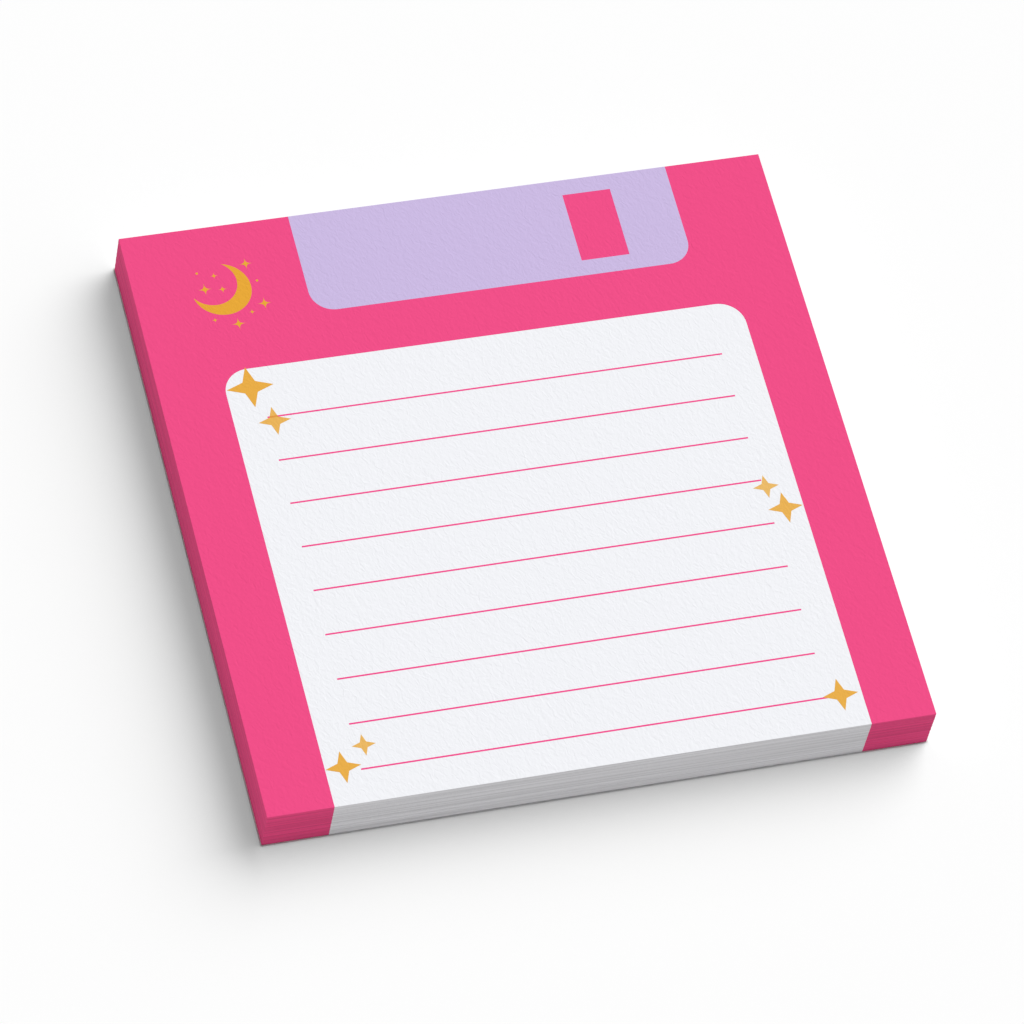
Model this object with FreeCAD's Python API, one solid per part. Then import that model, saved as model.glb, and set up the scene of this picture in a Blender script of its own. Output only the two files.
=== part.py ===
import FreeCAD, Part

import math
import os
import random

# A square pad of sticky notes, seen with the edge that peels up towards the front.
# All sizes are in millimetres. The origin is at the middle of the underside, with
# X to the right, Y to the back, where the adhesive is, and Z up.

# The stack of sheets
pad_width = 76.0
pad_depth = 76.0
sheet_thickness = 0.124
sheet_count = 50
sheet_stray = 0.06  # how far one sheet can lie out of line with the stack
stray_seed = 11

# How far the colour goes into the paper
face_ink_depth = 0.04
edge_ink_depth = 0.25

# The white label: unprinted paper that runs off the front edge
label_side_margin = 7.5
label_back_margin = 19.45
label_corner_radius = 3.0

# The lavender field, which runs off the back edge, and the pink slot in it
field_left_margin = 19.75
field_width = 44.9
field_depth = 13.25
field_corner_radius = 2.8
slot_width = 5.7
slot_margin = 2.05
slot_right_margin = 7.15

# The ruled lines on the label
line_count = 9
line_pitch = 5.72
line_thickness = 0.2
line_end_margin = 3.9
first_line_drop = 6.7

# The crescent in the pink corner, and what lies round it
moon_left_margin = 10.05
moon_back_margin = 8.55
moon_radius = 3.44
moon_bite_radius = 2.92
moon_bite_shift = 0.94
sparkle_arm = 0.72
sparkle_waist_share = 0.2  # how far out the inner corners lie, as a share of the arm
dot_radius = 0.14

# The largest of the four-pointed stars at the label's sides
star_arm = 2.7
star_waist_share = 0.27  # how far out the inner corners lie, as a share of the arm

# Sparkles round the crescent: how many times its radius they lie to the right of its
# centre and behind it, and the share that an arm has of the longest one
sparkle_place_shares = [
    (1.01, 0.87, 0.94),
    (-0.13, 0.56, 0.56),
    (-0.54, 0.08, 0.97),
    (0.04, 0.0, 0.58),
    (1.29, -0.75, 1.0),
    (0.81, -1.02, 0.44),
    (-0.47, -1.15, 0.42),
    (0.27, -1.41, 1.0),
]

# Dots round the crescent: how many times its radius they lie to its right and behind it
dot_place_shares = [
    (-0.67, 0.74),
    (1.24, 0.16),
]

# Stars on the label: the side they are nearer to, how many arms of the largest star
# they lie in from it and how many line pitches in front of the first ruled line, and
# the share that an arm has of the largest star's
label_star_shares = [
    ("left", 1.06, -0.74, 1.0),
    ("left", 1.71, 0.1, 0.69),
    ("right", 1.33, 3.16, 0.56),
    ("right", 0.78, 3.69, 0.75),
    ("left", 1.81, 7.49, 0.5),
    ("left", 0.76, 7.9, 0.74),
    ("right", 0.91, 7.98, 0.76),
]

pad_height = sheet_thickness * sheet_count
left_edge = -pad_width / 2
right_edge = pad_width / 2
front_edge = -pad_depth / 2
back_edge = pad_depth / 2
label_left = left_edge + label_side_margin
label_right = right_edge - label_side_margin
label_back = back_edge - label_back_margin
field_left = left_edge + field_left_margin
field_right = field_left + field_width
field_front = back_edge - field_depth

# Shapes that run off the pad go this far past it, and past its top
overrun = 5.0


def rectangle(left, front, right, back):
    """A flat face on the floor between two opposite corners."""
    corners = [(left, front), (right, front), (right, back), (left, back)]
    return polygon(corners)


def polygon(points):
    """A flat face on the floor with straight sides."""
    vectors = [FreeCAD.Vector(x, y, 0) for x, y in points]
    return Part.Face(Part.makePolygon(vectors + vectors[:1]))


def disc(x, y, radius):
    """A flat round face on the floor."""
    circle = Part.makeCircle(radius, FreeCAD.Vector(x, y, 0))
    return Part.Face(Part.Wire(circle))


def tongue(left, right, root, tip, radius):
    """A flat field from root, past the pad's edge, to tip, where its two corners are round."""
    towards_root = math.copysign(1.0, root - tip)
    shoulder = tip + radius * towards_root
    diagonal = radius * (1 - math.sqrt(0.5))
    near_left = FreeCAD.Vector(left, root, 0)
    left_shoulder = FreeCAD.Vector(left, shoulder, 0)
    left_middle = FreeCAD.Vector(left + diagonal, tip + diagonal * towards_root, 0)
    left_tip = FreeCAD.Vector(left + radius, tip, 0)
    right_tip = FreeCAD.Vector(right - radius, tip, 0)
    right_middle = FreeCAD.Vector(right - diagonal, tip + diagonal * towards_root, 0)
    right_shoulder = FreeCAD.Vector(right, shoulder, 0)
    near_right = FreeCAD.Vector(right, root, 0)
    edges = [
        Part.makeLine(near_left, left_shoulder),
        Part.Arc(left_shoulder, left_middle, left_tip).toShape(),
        Part.makeLine(left_tip, right_tip),
        Part.Arc(right_tip, right_middle, right_shoulder).toShape(),
        Part.makeLine(right_shoulder, near_right),
        Part.makeLine(near_right, near_left),
    ]
    return Part.Face(Part.Wire(edges))


def star(x, y, arm, waist_share):
    """A flat four-pointed star, whose inner corners lie a share of the arm out each way."""
    points = []
    for quarter in range(4):
        turn = quarter * math.pi / 2
        points.append((x + arm * math.cos(turn), y + arm * math.sin(turn)))
        corner = turn + math.pi / 4
        reach = arm * waist_share * math.sqrt(2)
        points.append((x + reach * math.cos(corner), y + reach * math.sin(corner)))
    return polygon(points)


def line_place(pitches):
    """How far back a ruled line lies, or a place so many pitches in front of the first one."""
    return label_back - first_line_drop - pitches * line_pitch


def label_face():
    """The outline of the white label."""
    return tongue(label_left, label_right, front_edge - overrun, label_back, label_corner_radius)


def slot_face():
    """The outline of the pink slot in the lavender field."""
    right = field_right - slot_right_margin
    return rectangle(
        right - slot_width, field_front + slot_margin, right, back_edge - slot_margin
    )


def lavender_face():
    """The outline of the lavender field, round its slot."""
    field = tongue(field_left, field_right, back_edge + overrun, field_front, field_corner_radius)
    return field.cut(slot_face())


def ruled_line_faces():
    """The outlines of the ruled lines."""
    faces = []
    for index in range(line_count):
        middle = line_place(index)
        faces.append(
            rectangle(
                label_left + line_end_margin,
                middle - line_thickness / 2,
                label_right - line_end_margin,
                middle + line_thickness / 2,
            )
        )
    return faces


def crescent_face():
    """The outline of the crescent, open to the back left."""
    x = left_edge + moon_left_margin
    y = back_edge - moon_back_margin
    bite = disc(x - moon_bite_shift, y + moon_bite_shift, moon_bite_radius)
    return disc(x, y, moon_radius).cut(bite)


def ornament_faces():
    """The outlines of the crescent, the sparkles and dots round it and the label's stars."""
    x = left_edge + moon_left_margin
    y = back_edge - moon_back_margin
    faces = [crescent_face()]
    for right, back, share in sparkle_place_shares:
        across = x + right * moon_radius
        along = y + back * moon_radius
        faces.append(star(across, along, share * sparkle_arm, sparkle_waist_share))
    for right, back in dot_place_shares:
        faces.append(disc(x + right * moon_radius, y + back * moon_radius, dot_radius))
    for side, arms, pitches, share in label_star_shares:
        inset = arms * star_arm
        across = label_left + inset if side == "left" else label_right - inset
        faces.append(star(across, line_place(pitches), share * star_arm, star_waist_share))
    return faces


def print_layer(faces):
    """What lies under flat outlines, as deep as ink goes into the top sheet."""
    solids = []
    for face in faces:
        raised = face.copy()
        raised.translate(FreeCAD.Vector(0, 0, pad_height - face_ink_depth))
        solids.append(raised.extrude(FreeCAD.Vector(0, 0, face_ink_depth + overrun)))
    return Part.makeCompound(solids)


def full_height(face):
    """What lies over and under a flat outline, from below the pad to above it."""
    lowered = face.copy()
    lowered.translate(FreeCAD.Vector(0, 0, -overrun))
    return lowered.extrude(FreeCAD.Vector(0, 0, pad_height + 2 * overrun))


def sheet_stack():
    """All the sheets, each a little out of line with the next, stuck into one block."""
    chance = random.Random(stray_seed)
    sheets = []
    for index in range(sheet_count):
        on_top = index == sheet_count - 1
        across = 0.0 if on_top else chance.uniform(-sheet_stray, sheet_stray)
        along = 0.0 if on_top else chance.uniform(-sheet_stray, sheet_stray)
        corner = FreeCAD.Vector(left_edge + across, front_edge + along, index * sheet_thickness)
        sheets.append(Part.makeBox(pad_width, pad_depth, sheet_thickness, corner))
    return sheets[0].multiFuse(sheets[1:]).removeSplitter()


def whole_face():
    """An outline that covers the pad with room to spare."""
    return rectangle(
        left_edge - overrun, front_edge - overrun, right_edge + overrun, back_edge + overrun
    )


def inked_edges():
    """The rim of the stack, as deep as colour goes into the cut edges of the sheets."""
    inside = rectangle(
        left_edge + edge_ink_depth,
        front_edge + edge_ink_depth,
        right_edge - edge_ink_depth,
        back_edge - edge_ink_depth,
    )
    return full_height(whole_face().cut(inside))


def moon_and_stars(stack):
    """The gold print."""
    return stack.common(print_layer(ornament_faces()))


def ruled_lines(stack, gold):
    """The pink lines to write on, up to the stars that lie over them."""
    return stack.common(print_layer(ruled_line_faces())).cut(gold)


def lavender_print(stack):
    """The lavender field on the face and its colour on the back edges of the sheets."""
    face = lavender_face()
    strip = rectangle(field_left, back_edge - edge_ink_depth, field_right, back_edge + overrun)
    return stack.common(print_layer([face]).fuse(full_height(strip)))


def pink_print(stack, gold, lavender):
    """The pink ground: the face and the edges of the sheets, round the label and the field."""
    ground = print_layer([whole_face().cut(label_face())])
    rim = inked_edges().cut(full_height(label_face()))
    return stack.common(ground.fuse(rim)).cut(lavender).cut(gold)


def note_sheets(stack, prints):
    """The paper that no ink has reached, with the bare label as part of it."""
    paper = stack
    for colour in prints:
        paper = paper.cut(colour)
    return paper


stack = sheet_stack()
gold = moon_and_stars(stack)
lines = ruled_lines(stack, gold)
lavender = lavender_print(stack)
pink = pink_print(stack, gold, lavender)
pieces = {
    "note_sheets": note_sheets(stack, [pink, lavender, gold, lines]),
    "pink_print": pink,
    "lavender_print": lavender,
    "ruled_lines": lines,
    "moon_and_stars": gold,
}

os.makedirs("parts", exist_ok=True)
for name, shape in pieces.items():
    shape.removeSplitter().exportStep(f"parts/{name}.step")
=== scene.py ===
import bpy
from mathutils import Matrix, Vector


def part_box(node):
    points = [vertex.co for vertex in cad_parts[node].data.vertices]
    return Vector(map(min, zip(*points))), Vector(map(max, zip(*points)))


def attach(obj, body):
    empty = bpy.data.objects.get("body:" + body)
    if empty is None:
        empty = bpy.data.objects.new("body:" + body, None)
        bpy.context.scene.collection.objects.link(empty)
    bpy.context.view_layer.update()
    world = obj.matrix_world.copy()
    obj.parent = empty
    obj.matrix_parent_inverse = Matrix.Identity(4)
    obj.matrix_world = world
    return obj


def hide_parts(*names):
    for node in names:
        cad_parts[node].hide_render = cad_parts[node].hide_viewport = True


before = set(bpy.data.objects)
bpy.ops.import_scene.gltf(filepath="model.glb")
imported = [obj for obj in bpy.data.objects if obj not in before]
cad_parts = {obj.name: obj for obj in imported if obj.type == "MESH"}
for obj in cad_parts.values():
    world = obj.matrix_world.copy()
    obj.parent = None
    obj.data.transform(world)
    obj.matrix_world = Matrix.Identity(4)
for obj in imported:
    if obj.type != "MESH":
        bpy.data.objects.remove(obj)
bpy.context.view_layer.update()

import math

import bmesh
import bpy
from mathutils import Matrix, Vector

# Sheets
#
# The pad is fifty squares of white uncoated paper, stuck to each other by a strip of
# adhesive under their back edge and cut as one block. Their edges are all but in line.

MM = 0.001
SIDE = 76.0 * MM
SHEETS = 50
INK = 0.004 * MM  # how thick a film of ink is
ink_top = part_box("note_sheets")[1].z
paper_top = ink_top - 3 * INK
SHEET = paper_top / SHEETS
CUT_EDGE = 0.018 * MM  # how far the knife rounds the rim of each sheet
EDGE_INK = 0.25 * MM  # how deep the colour lies in the edges
FELT = 0.05 * MM  # how deep the mark of the papermaking felt is
BAND = 0.05  # how much one sheet's edge differs from the next, in its own tone and in painted light and shade
STREAK = 0.1  # how much painted light and shade the edges have in places

left, right, front, back = -SIDE / 2, SIDE / 2, -SIDE / 2, SIDE / 2
label_left, label_right = left + 7.5 * MM, right - 7.5 * MM


def add_node(tree, kind, settings=None, inputs=None):
    """Adds a node, sets it up, and gives its inputs a value or another node's output."""
    node = tree.nodes.new(kind)
    for name, value in (settings or {}).items():
        setattr(node, name, value)
    for name, value in (inputs or {}).items():
        if isinstance(value, bpy.types.NodeSocket):
            tree.links.new(value, node.inputs[name])
        else:
            node.inputs[name].default_value = value
    return node


def linear(colour):
    """An sRGB hex colour as linear red, green, blue and alpha."""
    parts = [int(colour[i : i + 2], 16) / 255 for i in (1, 3, 5)]
    return [c / 12.92 if c <= 0.04045 else ((c + 0.055) / 1.055) ** 2.4 for c in parts] + [1.0]


def paper(name, face, edge=None):
    """Uncoated paper, matte and faintly embossed by the felt it was pressed on.

    Its cut edges differ in colour from its face, and each sheet's a little from the next,
    with painted light and shade along them.
    """
    material = bpy.data.materials.new(name)
    material.use_nodes = True
    tree = material.node_tree
    shader = tree.nodes["Principled BSDF"]
    shader.inputs["Base Color"].default_value = linear(face)
    shader.inputs["Roughness"].default_value = 0.88
    shader.inputs["IOR"].default_value = 1.5
    shader.inputs["Specular IOR Level"].default_value = 0.25
    place = add_node(tree, "ShaderNodeTexCoord")

    # The felt's mark: soft strokes 0.8 mm long and 0.5 mm wide, which run to the front and
    # a little to the right
    turned = add_node(
        tree,
        "ShaderNodeMapping",
        {"vector_type": "TEXTURE"},
        {
            "Vector": place.outputs["Object"],
            "Rotation": (0, 0, math.radians(-68)),
            "Scale": (0.8 * MM, 0.5 * MM, 0.5 * MM),
        },
    )
    strokes = add_node(
        tree,
        "ShaderNodeTexNoise",
        None,
        {"Vector": turned.outputs["Vector"], "Scale": 1.0, "Detail": 1.0, "Distortion": 1.0},
    )
    relief = add_node(
        tree,
        "ShaderNodeBump",
        None,
        {"Strength": 1.0, "Distance": FELT, "Height": strokes.outputs["Fac"]},
    )
    tree.links.new(relief.outputs["Normal"], shader.inputs["Normal"])
    if edge is None:
        return material

    # The sheets' edges: "shade" is a number from 0 to 1 that each sheet has of its own. It
    # makes the sheet's edge a little lighter or darker: its own tone and painted light and shade
    shade = add_node(tree, "ShaderNodeAttribute", {"attribute_name": "shade"})
    band = add_node(
        tree,
        "ShaderNodeMapRange",
        None,
        {"Value": shade.outputs["Fac"], "To Min": 1 - BAND, "To Max": 1 + BAND},
    )
    banded = add_node(
        tree,
        "ShaderNodeVectorMath",
        {"operation": "SCALE"},
        {0: linear(edge)[:3], "Scale": band.outputs["Result"]},
    )

    # Painted light and shade: in places some 30 mm long, one or two sheets' edges are painted
    # lighter or darker, as if they caught a little more light or less
    along = add_node(
        tree,
        "ShaderNodeMapping",
        {"vector_type": "TEXTURE"},
        {"Vector": place.outputs["Object"], "Scale": (30 * MM, 30 * MM, 1.7 * SHEET)},
    )
    streak = add_node(
        tree,
        "ShaderNodeTexNoise",
        None,
        {"Vector": along.outputs["Vector"], "Scale": 1.0, "Detail": 0.0},
    )
    lit = add_node(
        tree,
        "ShaderNodeMapRange",
        None,
        {
            "Value": streak.outputs["Fac"],
            "From Min": 0.3,
            "From Max": 0.7,
            "To Min": 1 - STREAK,
            "To Max": 1 + STREAK,
        },
    )
    edges = add_node(
        tree,
        "ShaderNodeVectorMath",
        {"operation": "SCALE"},
        {0: banded.outputs["Vector"], "Scale": lit.outputs["Result"]},
    )

    # A sheet's face and back lie level, and all else on it is edge
    geometry = add_node(tree, "ShaderNodeNewGeometry")
    facing = add_node(
        tree, "ShaderNodeSeparateXYZ", None, {"Vector": geometry.outputs["True Normal"]}
    )
    upright = add_node(
        tree, "ShaderNodeMath", {"operation": "ABSOLUTE"}, {0: facing.outputs["Z"]}
    )
    level = add_node(
        tree,
        "ShaderNodeMapRange",
        None,
        {"Value": upright.outputs[0], "From Min": 0.8, "From Max": 0.9},
    )
    colour = add_node(
        tree,
        "ShaderNodeMix",
        {"data_type": "RGBA"},
        {0: level.outputs["Result"], 6: edges.outputs["Vector"], 7: linear(face)},
    )
    tree.links.new(colour.outputs[2], shader.inputs["Base Color"])
    return material


def row_of_copies():
    """The tree that lays copies of a mesh in a row, each a little out of line with the next.

    The last copy is in line. A bundle of neighbours shares a stray of its own.
    """
    tree = bpy.data.node_groups.new("row of copies", "GeometryNodeTree")
    tree.is_modifier = True
    for name, kind in (
        ("Copied", "NodeSocketGeometry"),
        ("Copies", "NodeSocketInt"),
        ("Step", "NodeSocketVector"),
        ("Stray", "NodeSocketFloat"),
        ("Bundle", "NodeSocketInt"),
        ("Bundle Stray", "NodeSocketFloat"),
        ("Seed", "NodeSocketInt"),
        ("Material", "NodeSocketMaterial"),
    ):
        tree.interface.new_socket(name, in_out="INPUT", socket_type=kind)
    tree.interface.new_socket("Row", in_out="OUTPUT", socket_type="NodeSocketGeometry")
    given = add_node(tree, "NodeGroupInput").outputs
    row = add_node(
        tree,
        "GeometryNodeMeshLine",
        {"mode": "OFFSET"},
        {"Count": given["Copies"], "Offset": given["Step"]},
    )
    index = add_node(tree, "GeometryNodeInputIndex").outputs["Index"]
    bundle = add_node(
        tree, "ShaderNodeMath", {"operation": "DIVIDE"}, {0: index, 1: given["Bundle"]}
    )
    bundle = add_node(tree, "ShaderNodeMath", {"operation": "FLOOR"}, {0: bundle.outputs[0]})

    strays = []
    for number, size, shift in ((index, "Stray", 0), (bundle.outputs[0], "Bundle Stray", 1)):
        seed = add_node(
            tree, "ShaderNodeMath", {"operation": "ADD"}, {0: given["Seed"], 1: shift}
        )
        way = add_node(
            tree,
            "FunctionNodeRandomValue",
            {"data_type": "FLOAT_VECTOR"},
            {0: (-1, -1, 0), 1: (1, 1, 0), "ID": number, "Seed": seed.outputs[0]},
        )
        stray = add_node(
            tree,
            "ShaderNodeVectorMath",
            {"operation": "SCALE"},
            {0: way.outputs[0], "Scale": given[size]},
        )
        strays.append(stray.outputs[0])
    moved = add_node(
        tree, "ShaderNodeVectorMath", {"operation": "ADD"}, {0: strays[0], 1: strays[1]}
    )
    last = add_node(
        tree, "ShaderNodeMath", {"operation": "SUBTRACT"}, {0: given["Copies"], 1: 1.5}
    )
    below = add_node(
        tree, "ShaderNodeMath", {"operation": "LESS_THAN"}, {0: index, 1: last.outputs[0]}
    )
    placed = add_node(
        tree,
        "GeometryNodeSetPosition",
        None,
        {
            "Geometry": row.outputs["Mesh"],
            "Selection": below.outputs[0],
            "Offset": moved.outputs[0],
        },
    )
    copies = add_node(
        tree,
        "GeometryNodeInstanceOnPoints",
        None,
        {"Points": placed.outputs["Geometry"], "Instance": given["Copied"]},
    )
    # Each sheet's "shade" is its own share plus its bundle's. The paper turns it into painted
    # light and shade on the edges
    seed = add_node(tree, "ShaderNodeMath", {"operation": "ADD"}, {0: given["Seed"], 1: 2})
    shares = []
    for number in (index, bundle.outputs[0]):
        share = add_node(
            tree,
            "FunctionNodeRandomValue",
            {"data_type": "FLOAT"},
            {2: 0.0, 3: 0.5, "ID": number, "Seed": seed.outputs[0]},
        )
        shares.append(share.outputs[1])
    shade = add_node(tree, "ShaderNodeMath", {"operation": "ADD"}, {0: shares[0], 1: shares[1]})
    shaded = add_node(
        tree,
        "GeometryNodeStoreNamedAttribute",
        {"data_type": "FLOAT", "domain": "INSTANCE"},
        {"Geometry": copies.outputs["Instances"], "Name": "shade", "Value": shade.outputs[0]},
    )
    real = add_node(
        tree, "GeometryNodeRealizeInstances", None, {"Geometry": shaded.outputs["Geometry"]}
    )
    finished = add_node(
        tree,
        "GeometryNodeSetMaterial",
        None,
        {"Geometry": real.outputs["Geometry"], "Material": given["Material"]},
    )
    add_node(tree, "NodeGroupOutput", None, {"Row": finished.outputs["Geometry"]})
    return tree


COPIES = row_of_copies()


def laid_in_row(name, mesh, material, values):
    """A piece made of copies of a mesh in a row."""
    source = bpy.data.objects.new(name + " pattern", mesh)
    bpy.context.scene.collection.objects.link(source)
    modifier = source.modifiers.new("row", "NODES")
    modifier.node_group = COPIES
    for item in COPIES.interface.items_tree:
        if item.in_out == "INPUT" and item.name in values:
            modifier[item.identifier] = values[item.name]
        elif item.in_out == "INPUT" and item.name == "Material":
            modifier[item.identifier] = material
    bpy.context.view_layer.update()
    seen = source.evaluated_get(bpy.context.evaluated_depsgraph_get())
    made = bpy.data.meshes.new_from_object(seen)
    made.name = name
    bpy.data.objects.remove(source)
    piece = bpy.data.objects.new(name, made)
    bpy.context.scene.collection.objects.link(piece)
    return piece


def one_sheet(name, outlines):
    """The mesh of one sheet, or of a part of its rim, with the cut edges just rounded."""
    shape = bmesh.new()
    for outline in outlines:
        rings = []
        for height, inset in (
            (0, CUT_EDGE),
            (CUT_EDGE, 0),
            (SHEET - CUT_EDGE, 0),
            (SHEET, CUT_EDGE),
        ):
            ring = []
            for x, y in outline:
                x = min(max(x, left + inset), right - inset)
                y = min(max(y, front + inset), back - inset)
                ring.append(shape.verts.new((x, y, height)))
            rings.append(ring)
        for lower, upper in zip(rings, rings[1:]):
            for i in range(len(outline)):
                j = (i + 1) % len(outline)
                shape.faces.new((lower[i], lower[j], upper[j], upper[i]))
        shape.faces.new(rings[0][::-1])
        shape.faces.new(rings[-1])
    bmesh.ops.triangulate(shape, faces=[f for f in shape.faces if len(f.verts) > 4])
    bmesh.ops.recalc_face_normals(shape, faces=shape.faces)
    mesh = bpy.data.meshes.new(name)
    shape.to_mesh(mesh)
    shape.free()
    return mesh


SHEET_ROW = {
    "Copies": SHEETS,
    "Step": (0, 0, SHEET),
    "Stray": 0.008 * MM,
    "Bundle": 3,
    "Bundle Stray": 0.012 * MM,
    "Seed": 4,
}

# Uncoated paper is matte. It is a little blue, and duller where it is cut
white_paper = paper("uncoated white paper", "#F2F3F7", "#EAE9EC")
inner_left, inner_right = left + EDGE_INK, right - EDGE_INK
inner_front, inner_back = front + EDGE_INK, back - EDGE_INK
sheets = laid_in_row(
    "paper_sheets",
    one_sheet(
        "paper",
        [
            [
                (label_left, front),
                (label_right, front),
                (label_right, inner_front),
                (inner_right, inner_front),
                (inner_right, inner_back),
                (inner_left, inner_back),
                (inner_left, inner_front),
                (label_left, inner_front),
            ]
        ],
    ),
    white_paper,
    SHEET_ROW,
)
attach(sheets, "root")
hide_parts("note_sheets")

# Pink ground
#
# The pink is printed off all four edges and the pad is trimmed after printing, so it
# comes round to the cut edges of each sheet. On the face it leaves the label bare.

label_back = back - 19.45 * MM
LABEL_ROUND = 3.0 * MM
ROUND_STEPS = 12
field_left, field_right = left + 19.75 * MM, left + 64.65 * MM

# The ink has sunk into the paper, so it is as matte as the bare label
pink_paper = paper("pink printed paper", "#F04A86", "#F04E88")


def arc(x, y, radius, start, end, steps):
    """Points on an arc from one angle to another, in degrees."""
    points = []
    for step in range(steps + 1):
        angle = math.radians(start + (end - start) * step / steps)
        points.append((x + radius * math.cos(angle), y + radius * math.sin(angle)))
    return points


def film(name, shapes, bottom, top, tints=None):
    """The mesh of a film of ink. Each shape is its outline and then those of its openings.

    Its tint is the strength of its ink, from 0 to 1.
    """
    shape = bmesh.new()
    strength = shape.verts.layers.float.new("tint")
    for number, loops in enumerate(shapes):
        edges = []
        for loop in loops:
            ring = [shape.verts.new((x, y, bottom)) for x, y in loop]
            for corner in ring:
                corner[strength] = tints[number] if tints else 1.0
            edges += [shape.edges.new((a, b)) for a, b in zip(ring, ring[1:] + ring[:1])]
        filled = bmesh.ops.triangle_fill(shape, use_beauty=True, edges=edges)
        faces = [item for item in filled["geom"] if isinstance(item, bmesh.types.BMFace)]
        raised = bmesh.ops.extrude_face_region(shape, geom=faces, use_keep_orig=True)
        corners = [item for item in raised["geom"] if isinstance(item, bmesh.types.BMVert)]
        bmesh.ops.translate(shape, verts=corners, vec=(0, 0, top - bottom))
    bmesh.ops.recalc_face_normals(shape, faces=shape.faces)
    mesh = bpy.data.meshes.new(name)
    shape.to_mesh(mesh)
    shape.free()
    return mesh


def inked(name, shapes, bottom, top, material, tints=None):
    """A piece that is a film of ink."""
    mesh = film(name, shapes, bottom, top, tints)
    mesh.materials.append(material)
    piece = bpy.data.objects.new(name, mesh)
    bpy.context.scene.collection.objects.link(piece)
    return piece


pink_edges = laid_in_row(
    "pink_edges",
    one_sheet(
        "pink rim",
        [
            [
                (label_left, front),
                (label_left, inner_front),
                (inner_left, inner_front),
                (inner_left, inner_back),
                (field_left, inner_back),
                (field_left, back),
                (left, back),
                (left, front),
            ],
            [
                (label_right, front),
                (right, front),
                (right, back),
                (field_right, back),
                (field_right, inner_back),
                (inner_right, inner_back),
                (inner_right, inner_front),
                (label_right, inner_front),
            ],
        ],
    ),
    pink_paper,
    SHEET_ROW,
)
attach(pink_edges, "root")
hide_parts("pink_print")

shoulder = label_back - LABEL_ROUND
pink_ground = inked(
    "pink_ground",
    [
        [
            [(left, front), (label_left, front)]
            + arc(label_left + LABEL_ROUND, shoulder, LABEL_ROUND, 180, 90, ROUND_STEPS)
            + arc(label_right - LABEL_ROUND, shoulder, LABEL_ROUND, 90, 0, ROUND_STEPS)
            + [(label_right, front), (right, front), (right, back), (left, back)]
        ]
    ],
    paper_top,
    paper_top + INK,
    pink_paper,
)
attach(pink_ground, "root")
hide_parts("pink_print")

# Lavender field
#
# A field of pale ink with two round corners is printed off the back edge, so it comes
# round to the cut edges there. A slot is left out of it, and the pink shows in it.

# A pale, even tone with no gloss
lavender_paper = paper("lavender printed paper", "#CAB9E2", "#CAB9E2")
field_front = back - 13.25 * MM
FIELD_ROUND = 2.8 * MM
SLOT = 5.7 * MM  # how wide the slot is
SLOT_MARGIN = 2.05 * MM  # what is left of the field in front of the slot and behind it
slot_right = field_right - 7.15 * MM
slot_left = slot_right - SLOT
slot_front, slot_back = field_front + SLOT_MARGIN, back - SLOT_MARGIN

lavender_edges = laid_in_row(
    "lavender_edges",
    one_sheet(
        "lavender rim",
        [
            [
                (field_left, inner_back),
                (field_right, inner_back),
                (field_right, back),
                (field_left, back),
            ]
        ],
    ),
    lavender_paper,
    SHEET_ROW,
)
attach(lavender_edges, "root")
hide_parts("lavender_print")

knee = field_front + FIELD_ROUND
lavender_field = inked(
    "lavender_field",
    [
        [
            [(field_left, back)]
            + arc(field_left + FIELD_ROUND, knee, FIELD_ROUND, 180, 270, ROUND_STEPS)
            + arc(field_right - FIELD_ROUND, knee, FIELD_ROUND, 270, 360, ROUND_STEPS)
            + [(field_right, back)],
            [
                (slot_left, slot_front),
                (slot_left, slot_back),
                (slot_right, slot_back),
                (slot_right, slot_front),
            ],
        ]
    ],
    paper_top + INK,
    paper_top + 2 * INK,
    lavender_paper,
)
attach(lavender_field, "root")
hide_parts("lavender_print")

# Ruled lines
#
# Nine fine lines to write on, each a fifth of a millimetre wide. They are of the same
# pink ink as the ground, and are printed with it, straight on the bare label.

LINE_PITCH = 5.72 * MM
LINE = 0.2 * MM
first_line = label_back - 6.7 * MM
line_left, line_right = label_left + 3.9 * MM, label_right - 3.9 * MM

# The pink of the ground, as a hairline that the relief breaks up a little
line_paper = paper("pink line on paper", "#F34A8F")
one_line = film(
    "one line",
    [
        [
            [
                (line_left, first_line - LINE / 2),
                (line_right, first_line - LINE / 2),
                (line_right, first_line + LINE / 2),
                (line_left, first_line + LINE / 2),
            ]
        ]
    ],
    paper_top,
    paper_top + INK,
)
lines = laid_in_row(
    "writing_lines",
    one_line,
    line_paper,
    {
        "Copies": 9,
        "Step": (0, -LINE_PITCH, 0),
        "Stray": 0.0,
        "Bundle": 1,
        "Bundle Stray": 0.0,
    },
)
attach(lines, "root")
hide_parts("ruled_lines")

# Crescent and stars
#
# Gold print: a crescent with sparkles and dots round it in the pink corner, and
# four-pointed stars at the sides of the label, which lie over the ruled lines.

# A plain ochre with no metal in it, which is paler in the stars on the label
GOLD, PALE_GOLD = "#E7A730", "#EBBE70"
gold_paper = paper("gold printed paper", GOLD)
tree = gold_paper.node_tree
strength = add_node(tree, "ShaderNodeAttribute", {"attribute_name": "tint"})
tinted = add_node(
    tree,
    "ShaderNodeMix",
    {"data_type": "RGBA"},
    {0: strength.outputs["Fac"], 6: linear(PALE_GOLD), 7: linear(GOLD)},
)
tree.links.new(tinted.outputs[2], tree.nodes["Principled BSDF"].inputs["Base Color"])

moon_x, moon_y, MOON = left + 10.05 * MM, back - 8.55 * MM, 3.44 * MM
BITE, BITE_SHIFT = 2.92 * MM, 0.94 * MM
bite_x, bite_y = moon_x - BITE_SHIFT, moon_y + BITE_SHIFT
SPARKLE, SPARKLE_WAIST = 1.0 * MM, 0.19  # the arm, and where the inner corners lie
STAR, STAR_WAIST = 2.7 * MM, 0.27
DOT = 0.15 * MM


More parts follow.
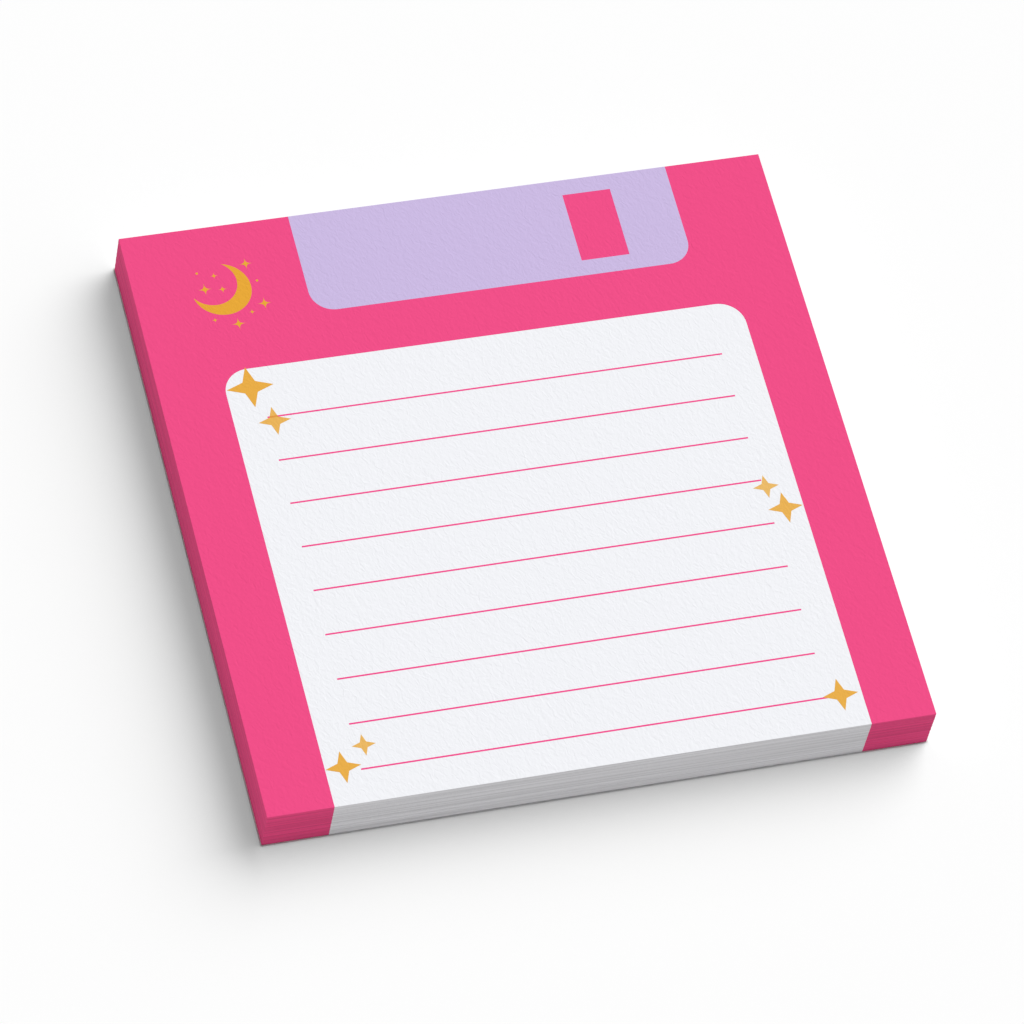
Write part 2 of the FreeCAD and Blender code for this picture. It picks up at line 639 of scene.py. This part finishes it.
def star(x, y, arm):
    """A four-pointed star with straight sides."""
    points = []
    for turn in range(4):
        angle = turn * math.pi / 2
        points.append((x + arm * math.cos(angle), y + arm * math.sin(angle)))
        angle += math.pi / 4
        reach = arm * STAR_WAIST * math.sqrt(2)
        points.append((x + reach * math.cos(angle), y + reach * math.sin(angle)))
    return points


def sparkle(x, y, arm):
    """A four-pointed star with hollow sides."""
    power = 2 * math.log(1 / SPARKLE_WAIST) / math.log(2)
    points = []
    for step in range(48):
        angle = step * math.pi / 24
        across, along = math.cos(angle), math.sin(angle)
        points.append(
            (
                x + arm * math.copysign(abs(across) ** power, across),
                y + arm * math.copysign(abs(along) ** power, along),
            )
        )
    return points


def crescent():
    """The moon's disc with a smaller one bitten out of it, which lies back and left."""
    apart = BITE_SHIFT * math.sqrt(2)
    half = math.acos((apart**2 + MOON**2 - BITE**2) / (2 * apart * MOON))
    half = math.degrees(half)
    inner = math.degrees(math.acos((apart**2 + BITE**2 - MOON**2) / (2 * apart * BITE)))
    outer_arc = arc(moon_x, moon_y, MOON, 135 + half, 135 + 360 - half, 96)
    inner_arc = arc(bite_x, bite_y, BITE, 315 + inner, 315 - inner, 72)
    return outer_arc + inner_arc[1:-1]


gold_shapes = [[crescent()]]

# Sparkles: how many moon's radii to its right and behind it, and how long of the longest
for across, along, share in (
    (1.01, 0.87, 0.94),
    (-0.13, 0.56, 0.56),
    (-0.54, 0.08, 0.97),
    (0.04, 0.0, 0.64),
    (1.29, -0.75, 1.0),
    (0.81, -1.02, 0.48),
    (-0.47, -1.15, 0.46),
    (0.27, -1.41, 1.0),
):
    gold_shapes.append([sparkle(moon_x + across * MOON, moon_y + along * MOON, share * SPARKLE)])
for across, along in ((-0.67, 0.74), (1.24, 0.16)):
    gold_shapes.append([arc(moon_x + across * MOON, moon_y + along * MOON, DOT, 0, 345, 23)])
gold_tints = [1.0] * len(gold_shapes)

# Stars: the side that they are nearer to, how many of the longest arms from it and how
# many line pitches in front of the first line, how long of the longest, and their tint
label_stars = (
    (label_left, 1.06, -0.74, 1.0, 0.82),
    (label_left, 1.71, 0.1, 0.69, 0.51),
    (label_right, -1.33, 3.16, 0.56, 0.23),
    (label_right, -0.78, 3.69, 0.75, 0.6),
    (label_left, 1.81, 7.49, 0.5, 0.36),
    (label_left, 0.76, 7.9, 0.74, 0.76),
    (label_right, -0.91, 7.98, 0.76, 0.745),
)
for side, arms, pitches, share, tint in label_stars:
    gold_tints.append(tint)
    gold_shapes.append([star(side + arms * STAR, first_line - pitches * LINE_PITCH, share * STAR)])
moon_and_stars = inked(
    "gold_print", gold_shapes, paper_top, paper_top + 2 * INK, gold_paper, gold_tints
)
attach(moon_and_stars, "root")
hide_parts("moon_and_stars")

# The first ruled line shows through the star that is printed over it, as a dull orange
side, arms, pitches, share = label_stars[1][:4]
crossed_x, crossed_y = side + arms * STAR, first_line - pitches * LINE_PITCH
tip, corner = share * STAR, STAR_WAIST * share * STAR
low, high = first_line - LINE / 2 - crossed_y, first_line + LINE / 2 - crossed_y
right_end = [
    (corner + (corner - low) / corner * (tip - corner), low),
    (corner, corner),
    (corner * (tip - high) / (tip - corner), high),
]
crossing = [(crossed_x + x, crossed_y + y) for x, y in right_end]
crossing += [(crossed_x - x, crossed_y + y) for x, y in right_end[::-1]]
crossed_paper = paper("gold printed over a pink line", "#E2953E")
line_in_star = inked("line_in_star", [[crossing]], paper_top + 2 * INK, ink_top, crossed_paper)
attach(line_in_star, "root")
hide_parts("moon_and_stars")

# Studio
#
# The pad lies on a white table in an even white room, with one very wide soft light from
# the back right. The camera is far off at the front left and looks down on it.

floor_mesh = bpy.data.meshes.new("table")
reach = 4.0  # how far the table goes each way, in metres
floor_mesh.from_pydata(
    [(-reach, -reach, 0), (reach, -reach, 0), (reach, reach, 0), (-reach, reach, 0)],
    [],
    [(0, 1, 2, 3)],
)
floor = bpy.data.objects.new("table", floor_mesh)
bpy.context.scene.collection.objects.link(floor)

# Board has no gloss. It shows white, and throws less light on the pad than it seems to
white_board = bpy.data.materials.new("white studio board")
white_board.use_nodes = True
board = white_board.node_tree.nodes["Principled BSDF"]
path = add_node(white_board.node_tree, "ShaderNodeLightPath")
tone = add_node(
    white_board.node_tree,
    "ShaderNodeMapRange",
    None,
    {"Value": path.outputs["Is Camera Ray"], "To Min": 0.65, "To Max": 0.985},
)
white_board.node_tree.links.new(tone.outputs["Result"], board.inputs["Base Color"])
board.inputs["Roughness"].default_value = 1.0
board.inputs["Specular IOR Level"].default_value = 0.0
floor_mesh.materials.append(white_board)

# Grey cards round the pad, which the camera doesn't see. They throw plain light on the
# table in place of the sides' own pink, and let the light that leaves the sides through.
# Their black foot keeps light out of the seam between the pad and the table. The greys
# are the front, right, back and left card's.
cards = bpy.data.meshes.new("cards")
away = SIDE / 2 + 0.12 * MM
FOOT = 0.15 * MM
corners = [(-away, -away), (away, -away), (away, away), (-away, away)]
walls = []
for row in (0, 4):
    for i in range(4):
        j = (i + 1) % 4
        walls.append((row + i, row + j, row + 4 + j, row + 4 + i))
cards.from_pydata([(x, y, z) for z in (0, FOOT, ink_top) for x, y in corners], [], walls)
for index, grey in enumerate((0.9, 0.8, 0.8, 0.35)):
    card = bpy.data.materials.new("grey card")
    card.use_nodes = True
    tree = card.node_tree
    tree.nodes.remove(tree.nodes["Principled BSDF"])
    outward = add_node(
        tree, "ShaderNodeBsdfDiffuse", None, {"Color": (grey, grey, grey, 1)}
    )
    clear = add_node(tree, "ShaderNodeBsdfTransparent")
    sides = add_node(tree, "ShaderNodeNewGeometry")
    shown = add_node(
        tree,
        "ShaderNodeMixShader",
        None,
        {0: sides.outputs["Backfacing"], 1: outward.outputs[0], 2: clear.outputs[0]},
    )
    tree.links.new(shown.outputs[0], tree.nodes["Material Output"].inputs["Surface"])
    cards.materials.append(card)
    cards.polygons[4 + index].material_index = index
black = bpy.data.materials.new("black card")
black.use_nodes = True
shader = black.node_tree.nodes["Principled BSDF"]
shader.inputs["Base Color"].default_value = (0, 0, 0, 1)
shader.inputs["Specular IOR Level"].default_value = 0.0
cards.materials.append(black)
for index in range(4):
    cards.polygons[index].material_index = 4
card_ring = bpy.data.objects.new("cards", cards)
bpy.context.scene.collection.objects.link(card_ring)
for ray in ("camera", "glossy", "transmission", "volume_scatter", "shadow"):
    setattr(card_ring, "visible_" + ray, False)

room = bpy.data.worlds.new("white room")
bpy.context.scene.world = room
room.use_nodes = True
tree = room.node_tree
path = add_node(tree, "ShaderNodeLightPath")
seen = add_node(
    tree,
    "ShaderNodeMath",
    {"operation": "MAXIMUM"},
    {0: path.outputs["Is Camera Ray"], 1: path.outputs["Is Glossy Ray"]},
)
seen = add_node(
    tree,
    "ShaderNodeMath",
    {"operation": "MAXIMUM"},
    {0: seen.outputs[0], 1: path.outputs["Is Transmission Ray"]},
)
level = add_node(
    tree, "ShaderNodeMapRange", None, {"Value": seen.outputs[0], "To Min": 0.56, "To Max": 1.0}
)
tree.nodes["Background"].inputs["Color"].default_value = (1, 1, 1, 1)
tree.links.new(level.outputs["Result"], tree.nodes["Background"].inputs["Strength"])

lamp = bpy.data.lights.new("soft light", "SUN")
lamp.energy = 2.15
lamp.angle = math.radians(58)
lamp_object = bpy.data.objects.new("soft light", lamp)
bpy.context.scene.collection.objects.link(lamp_object)
lamp_object.rotation_euler = Vector((0.625, 0.44, 0.645)).to_track_quat("Z", "Y").to_euler()

# The camera's place, what it looks at and how it is turned are those of the photograph
camera = bpy.data.cameras.new("camera")
camera.sensor_width = 36
camera.lens = 225.86
camera.clip_start, camera.clip_end = 0.01, 20
camera_object = bpy.data.objects.new("camera", camera)
bpy.context.scene.collection.objects.link(camera_object)
eye = Vector((-0.169279, -0.353600, 0.607951))
aim = Vector((-0.001499, -0.002975, 0.0031))
roll = math.radians(-13.680)
ahead = (aim - eye).normalized()
level_right = ahead.cross(Vector((0, 0, 1))).normalized()
level_up = level_right.cross(ahead)
up = level_up * math.cos(roll) + level_right * math.sin(roll)
side = ahead.cross(up)
camera_object.matrix_world = Matrix.Translation(eye) @ Matrix(
    (
        (side.x, up.x, -ahead.x, 0),
        (side.y, up.y, -ahead.y, 0),
        (side.z, up.z, -ahead.z, 0),
        (0, 0, 0, 1),
    )
)
bpy.context.scene.camera = camera_object
bpy.context.scene.view_settings.view_transform = "Standard"
